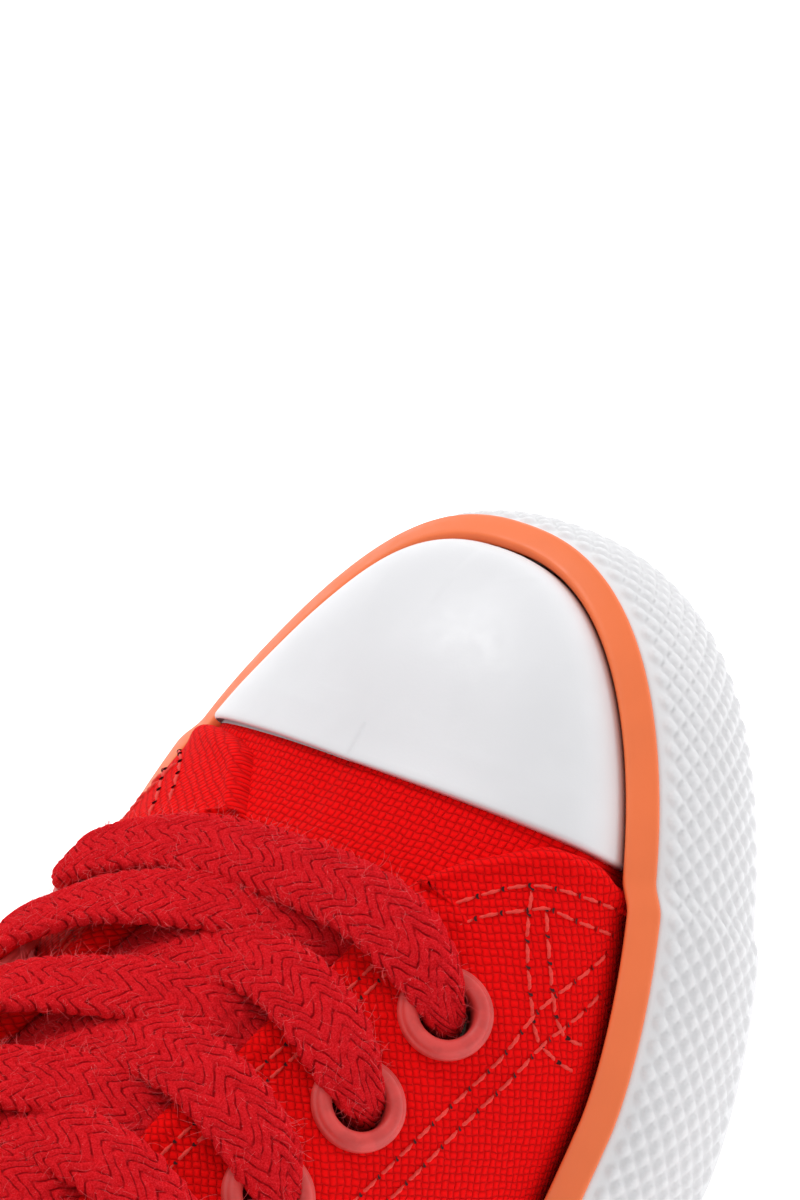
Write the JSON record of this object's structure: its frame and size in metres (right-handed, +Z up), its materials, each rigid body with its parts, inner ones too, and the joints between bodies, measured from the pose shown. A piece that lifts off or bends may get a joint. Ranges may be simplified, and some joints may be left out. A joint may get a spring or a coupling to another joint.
{
  "type": "canvas sneaker",
  "caption": "Low-top lace-up canvas sneaker with a rubber toe cap, textured foxing, a coloured stripe, tongue, ringed eyelets and flat laces over a hollow upper.",
  "frame": {"origin": "on the ground under the middle of the shoe's overall box", "axes": "+Z up, +Y from toe to heel, +X the wearer's left with the shoe on"},
  "size_m": [0.0857, 0.2126, 0.0804],
  "materials": {
    "outsole_rubber": "moulded tread, matte white",
    "foxing_rubber": "small moulded studs, matte white",
    "stripe_rubber": "smooth satin orange",
    "cap_rubber": "smooth satin white",
    "canvas": "coarse plain-weave canvas, red",
    "insole_cloth": "woven cloth over foam",
    "tongue_canvas": "canvas, red",
    "lace": "woolly flat braid, red",
    "eyelet": "matte coral-red rings"
  },
  "bodies": {
    "root": {"outsole": "outsole_rubber", "foxing": "foxing_rubber", "stripe": "stripe_rubber", "toe_cap": "cap_rubber", "upper": "canvas", "insole": "insole_cloth", "tongue": "tongue_canvas", "laces": "lace", "eyelet_right_1": "eyelet", "eyelet_left_1": "eyelet", "eyelet_right_2": "eyelet", "eyelet_left_2": "eyelet", "eyelet_right_3": "eyelet", "eyelet_left_3": "eyelet", "eyelet_right_4": "eyelet", "eyelet_left_4": "eyelet", "eyelet_right_5": "eyelet", "eyelet_left_5": "eyelet"}
  },
  "joints": []
}
